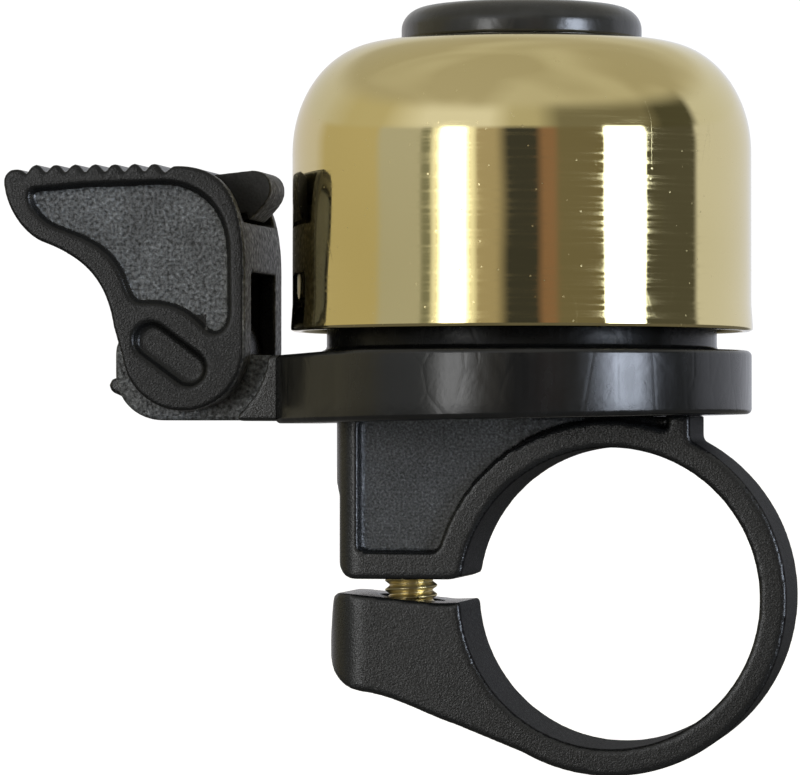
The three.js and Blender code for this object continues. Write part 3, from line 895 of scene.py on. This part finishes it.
def build_lever():
    """Hollow lever: a window in its back, an open top, a web for the hammer's leaf, hubs for the pin."""
    px, pz = PIVOT.x, PIVOT.z
    h, inner, depth = LEVER_HALF, LEVER_INNER, POCKET_DEPTH
    slot, lap, rivet_half = 4.4, 0.4, 0.62
    body = prism(lever_outline(), -h, h)
    minus(
        body,
        prism(lever_cavity(), -inner, inner),
        drum(px, pz, 6.4, -slot, slot),
        block(-28.6, -26, -slot, slot, 16, 24.2),
        block(-30.6, -25, -inner, inner, 27.93, 34),
        block(-30.6, -28.22, -3.1, 3.1, 26.2, 30),
        sunk(side_pocket(), -h, depth),
        sunk(heel_pocket(), -h, depth),
        sunk(side_pocket(), h, -depth),
    )
    web = block(-33.6, -30.0, -inner - lap, inner + lap, 22.5, 24.4)
    near_hub = drum(px, pz, 2.7, -inner - lap, -slot, 48)
    far_hub = drum(px, pz, 2.7, slot, inner + lap, 48)
    boolean(body, "UNION", web, near_hub, far_hub)
    pin_hole = drum(px, pz, PIN_HOLE_R, -6.15, 8, 48)
    pin_head_seat = drum(px, pz, 2.1, 6.45, 8, 48)
    rivet_hole = block(-34.2, -29.8, -rivet_half, rivet_half, 22.83, 24.07)
    minus(body, pin_hole, pin_head_seat, rivet_hole)
    moulded(body, 0.13, 5)
    body.data.materials.append(LEVER)
    floor_face = side_face(h - depth)
    # Painted sheen on the lever's pocket floors: a much lighter copy of its plastic.
    paint(body, FLOOR_SHEEN, lambda c, n: (c.z > 21 or (c.x > -30 and c.z > 18.9)) and floor_face(c, n))
    # Painted light on the lever's faces turned to +X, towards the window.
    paint(body, LIT_SIDE_SHEEN, lambda c, n: n.x > 0.5 and c.z > 10 and c.x > -30)
    finish(body, "lever_shell", None, "lever", ["thumb_lever"])


def copy_node(node, name, material):
    """A copy of a CAD node's mesh, for a piece that bends, in metres as the frame has it."""
    ob = link_object(name, frame["nodes"][node].data.copy())
    bm = bmesh.new()
    bm.from_mesh(ob.data)
    bmesh.ops.remove_doubles(bm, verts=bm.verts, dist=1e-7)
    bm.to_mesh(ob.data)
    bm.free()
    ob.data.materials.clear()
    ob.data.materials.append(material)
    for poly in ob.data.polygons:
        poly.material_index = 0
    ob.data.shade_smooth()
    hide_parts(node)
    return ob


def build_hammer():
    """Plastic block with a slot for its leaf, and the leaf, which bends between lever and hammer."""
    points = [(-30.2, 27.6), (-29.25, 27.6), (-29.02, 28.45), (-28.3, 28.72), (-27.75, 28.72)]
    points += [(-27.5, 28.2), (-27.35, 28.25)]
    points += bezier((-27.35, 28.25), (-26.5, 29.1), (-25.8, 29.8), (-25.85, 30.6), 16)
    points += bezier((-25.85, 30.6), (-25.9, 31.5), (-26.5, 31.9), (-27.3, 31.9), 16)
    points += [(-30.2, 31.6)]
    head = prism(points, -2.7, 2.7)
    minus(head, block(-29.85, -29.2, -2.15, 2.15, 27, 30))
    moulded(head, 0.1, 4)
    # Painted light on the hammer's top and ends; its flat sides get painted shade below.
    head.data.materials.append(LIT_SIDE_SHEEN)
    # Painted shade on the hammer's flat sides.
    paint(head, HAMMER_SIDE_SHADE, lambda c, n: abs(n.y) > 0.8)
    finish(head, "hammer_block", None, "hammer", ["hammer_head"])
    leaf = copy_node("hammer_leaf", "hammer_strip", STEEL)
    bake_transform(leaf)


def build_spring():
    """The return spring; its coil twists between its two legs, which stay straight."""
    coil = copy_node("return_spring", "lever_spring", STEEL)
    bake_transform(coil)


# ---------------------------------------------------------------- clamp screw
def thread(low, high):
    """Rolled thread: a ridge that climbs one pitch in each turn, on a closed rod."""
    root_r, depth, steps, rows_a_turn = 1.62, 0.36, 48, 10
    rows = int((high - low) / THREAD_PITCH * rows_a_turn)
    bm = bmesh.new()
    grid = []
    for j in range(rows + 1):
        z = low + (high - low) * j / rows
        row = []
        for k in range(steps):
            turn = (z / THREAD_PITCH - k / steps) % 1.0
            wave = abs(turn * 2 - 1)
            r = root_r + depth * min(1.0, max(0.0, (wave - 0.12) / 0.76))
            a = 2 * math.pi * k / steps
            row.append(bm.verts.new((SCREW_X + r * math.cos(a), r * math.sin(a), z)))
        grid.append(row)
    for a, b in zip(grid, grid[1:]):
        for k in range(steps):
            m = (k + 1) % steps
            bm.faces.new((a[k], a[m], b[m], b[k]))
    bm.faces.new(list(reversed(grid[0])))
    bm.faces.new(grid[-1])
    return made("shank", bm)


def build_screw():
    """Clamp screw with a pan head and a cross recess; its tip ends a little short of the bore's end."""
    low = screw_low.z
    head_r, head_high, corner = 3.6, 2.2, 0.9
    shank = thread(low + head_high, screw_high.z - 0.4)
    profile = [(0, low), (2.6, low)] + arc(2.6, low + corner, 1.0, -90, 0, 8, corner)
    profile += [(head_r, low + head_high), (0, low + head_high)]
    head = revolve(profile, SCREW_X, 64, closed=False)
    reach, half, cut_z = 2.1, 0.35, low + 1.1
    minus(head, block(SCREW_X - reach, SCREW_X + reach, -half, half, low - 1, cut_z))
    minus(head, block(SCREW_X - half, SCREW_X + half, -reach, reach, low - 1, cut_z))
    screw = merge("screw", [shank, head])
    finish(screw, "threaded_screw", ZINC, "screw", ["clamp_screw"])


def paint_nodes():
    """Materials for the CAD nodes that stay."""
    for node, material in (
        ("dome_seat_washer", FIBRE),
        ("dome_washer", STEEL),
        ("dome_screw", STEEL),
        ("leaf_rivet", STEEL),
        ("pivot_pin", STEEL),
        ("clamp_washer", ZINC),
        ("clamp_nut", ZINC),
    ):
        for place in frame["nodes"][node].material_slots:
            place.link = "OBJECT"
            place.material = material


# ---------------------------------------------------------------- stage
def camera():
    """The photograph's view: a long lens, 0.33 m away, a little to the right of square on."""
    cam = bpy.data.cameras.new("camera")
    cam.sensor_width = 36.0
    cam.lens = 198.35
    cam.clip_start = 0.01
    cam.clip_end = 20
    ob = link_object("camera", cam)
    yaw, pitch = math.radians(10.0), math.radians(0.48)
    ob.location = (0.0412, -0.3270, 0.0128)
    ob.rotation_euler = (math.pi / 2 + pitch, 0, yaw)
    bpy.context.scene.camera = ob


def world():
    """A room of light and dark panels for the brass to mirror; the camera itself sees plain white."""
    w = bpy.data.worlds.new("studio")
    bpy.context.scene.world = w
    w.use_nodes = True
    tree = w.node_tree
    tree.nodes.clear()

    def add(kind, **values):
        node = tree.nodes.new(kind)
        for key, value in values.items():
            setattr(node, key, value)
        return node

    def math_node(kind, a, b=0.0):
        node = add("ShaderNodeMath", operation=kind)
        for k, value in enumerate((a, b)):
            if isinstance(value, (int, float)):
                node.inputs[k].default_value = value
            else:
                tree.links.new(value, node.inputs[k])
        return node.outputs[0]

    coord = add("ShaderNodeTexCoord")
    split = add("ShaderNodeSeparateXYZ")
    tree.links.new(coord.outputs["Generated"], split.inputs[0])
    angle = math_node("ARCTAN2", split.outputs["Y"], split.outputs["X"])
    view_azimuth = math.radians(8.4)
    turned = math_node("ADD", angle, math.pi / 2 - view_azimuth + math.pi)
    share = math_node("FRACT", math_node("DIVIDE", turned, 2 * math.pi))

    def ring_of(panels):
        """Colour round the horizon: each panel is (start, end, colour), in degrees from the front."""
        node = add("ShaderNodeValToRGB")
        stops = [(deg, color) for start, end, color in panels for deg in (start, end)]
        elements = node.color_ramp.elements
        while len(elements) < len(stops):
            elements.new(0.5)
        for element, (deg, color) in zip(elements, stops):
            element.position = (deg + 180) / 360
            element.color = (*color, 1)
        tree.links.new(share, node.inputs["Fac"])
        return node.outputs["Color"]

    def over(low, high, below, above):
        """Blends from one colour to another between two heights of the direction."""
        up = add("ShaderNodeMapRange", interpolation_type="SMOOTHSTEP")
        up.inputs["From Min"].default_value = low
        up.inputs["From Max"].default_value = high
        tree.links.new(split.outputs["Z"], up.inputs["Value"])
        node = add("ShaderNodeMix", data_type="RGBA")
        tree.links.new(up.outputs["Result"], node.inputs["Factor"])
        rgba = [s for s in node.inputs if s.type == "RGBA"]
        tree.links.new(below, rgba[0])
        tree.links.new(above, rgba[1])
        return [s for s in node.outputs if s.type == "RGBA"][0]

    panels = ring_of([
        (-180, -126, (0.76, 0.74, 0.75)),  # white wall
        (-116, -78, (0.62, 0.56, 0.37)),  # cream wall
        (-74, -52, (0.57, 0.58, 0.57)),  # grey board
        (-50, -46.5, (0.28, 0.29, 0.25)),
        (-44, -42, (1.3, 1.3, 1.2)),  # soft box, brighter in its middle
        (-38, -29, (6.6, 6.6, 6.6)),
        (-26, -23.5, (1.3, 1.3, 1.2)),
        (-21, -12, (0.52, 0.46, 0.36)),
        (-6, 7, (0.06, 0.062, 0.065)),  # camera and its stand
        (11, 16, (0.34, 0.21, 0.155)),  # wooden post
        (19, 41.5, (0.22, 0.20, 0.15)),  # dim room
        (43.5, 62, (13.0, 14.4, 17.0)),  # window
        (64, 95, (0.11, 0.11, 0.10)),  # dark curtain
        (98, 180, (0.82, 0.84, 0.92)),  # white wall
    ])
    frieze = ring_of([
        (-180, -126, (0.74, 0.74, 0.74)),
        (-100, -76, (0.64, 0.60, 0.44)),
        (-50, -16, (0.95, 0.96, 1.0)),  # wall lit by the soft box
        (-4, 8, (0.62, 0.60, 0.50)),
        (20, 66, (0.25, 0.24, 0.20)),  # shaded wall
        (76, 96, (0.10, 0.10, 0.08)),
        (102, 180, (0.80, 0.82, 0.86)),
    ])
    cloud = add("ShaderNodeTexNoise")
    cloud.inputs["Scale"].default_value = 1.3
    cloud.inputs["Detail"].default_value = 1.0
    cloud.inputs["Distortion"].default_value = 0.6
    tree.links.new(coord.outputs["Generated"], cloud.inputs["Vector"])
    ceiling = add("ShaderNodeValToRGB")
    tones = [(0.40, (0.55, 0.53, 0.46, 1)), (0.60, (0.68, 0.67, 0.62, 1))]
    for element, (place, color) in zip(ceiling.color_ramp.elements, tones):
        element.position = place
        element.color = color
    tree.links.new(cloud.outputs["Fac"], ceiling.inputs["Fac"])
    light = over(0.2, 0.27, panels, over(0.42, 0.62, frieze, ceiling.outputs["Color"]))
    back = add("ShaderNodeBackground")
    tree.links.new(light, back.inputs["Color"])
    white = add("ShaderNodeBackground")
    white.inputs["Color"].default_value = (1, 1, 1, 1)
    white.inputs["Strength"].default_value = 1.05
    path = add("ShaderNodeLightPath")
    mix = add("ShaderNodeMixShader")
    tree.links.new(path.outputs["Is Camera Ray"], mix.inputs[0])
    tree.links.new(back.outputs[0], mix.inputs[1])
    tree.links.new(white.outputs[0], mix.inputs[2])
    out = add("ShaderNodeOutputWorld")
    tree.links.new(mix.outputs[0], out.inputs["Surface"])


def floor():
    """White to the camera; to the brass, a dim table that ends in the room's own light."""
    size, z, table_edge, room_edge = 6.0, -0.05, 0.35, 0.8
    bm = bmesh.new()
    corners = ((-size, -size), (size, -size), (size, size), (-size, size))
    bm.faces.new([bm.verts.new((x, y, z)) for x, y in corners])
    ob = made("floor", bm)
    n = Nodes("pale_floor")
    tone = n.ramp(n.noise(6, 2), [(0.3, (0.86, 0.86, 0.86)), (0.7, (0.88, 0.88, 0.88))])
    n.set(Base_Color=tone, Roughness=0.9, Emission_Color=(1, 1, 1), Emission_Strength=0.55)
    dim = n.add("ShaderNodeBsdfDiffuse")
    dim.inputs["Color"].default_value = (0.26, 0.255, 0.25, 1)
    away = n.add("ShaderNodeVectorMath", operation="LENGTH")
    n.link(n.coord, away.inputs[0])
    table = n.add("ShaderNodeMixShader")
    n.link(n.remap(away.outputs["Value"], table_edge, room_edge, 0, 1), table.inputs[0])
    n.link(dim.outputs[0], table.inputs[1])
    n.link(n.add("ShaderNodeBsdfTransparent").outputs[0], table.inputs[2])
    path = n.add("ShaderNodeLightPath")
    mix = n.add("ShaderNodeMixShader")
    n.link(path.outputs["Is Camera Ray"], mix.inputs[0])
    n.link(table.outputs[0], mix.inputs[1])
    n.link(n.bsdf.outputs[0], mix.inputs[2])
    n.link(mix.outputs[0], n.tree.nodes["Material Output"].inputs["Surface"])
    ob.data.materials.append(n.mat)


camera()
world()
floor()
bpy.context.scene.view_settings.view_transform = "Standard"
build_dome()
build_cap()
build_base()
build_lever()
build_hammer()
build_spring()
build_screw()
paint_nodes()
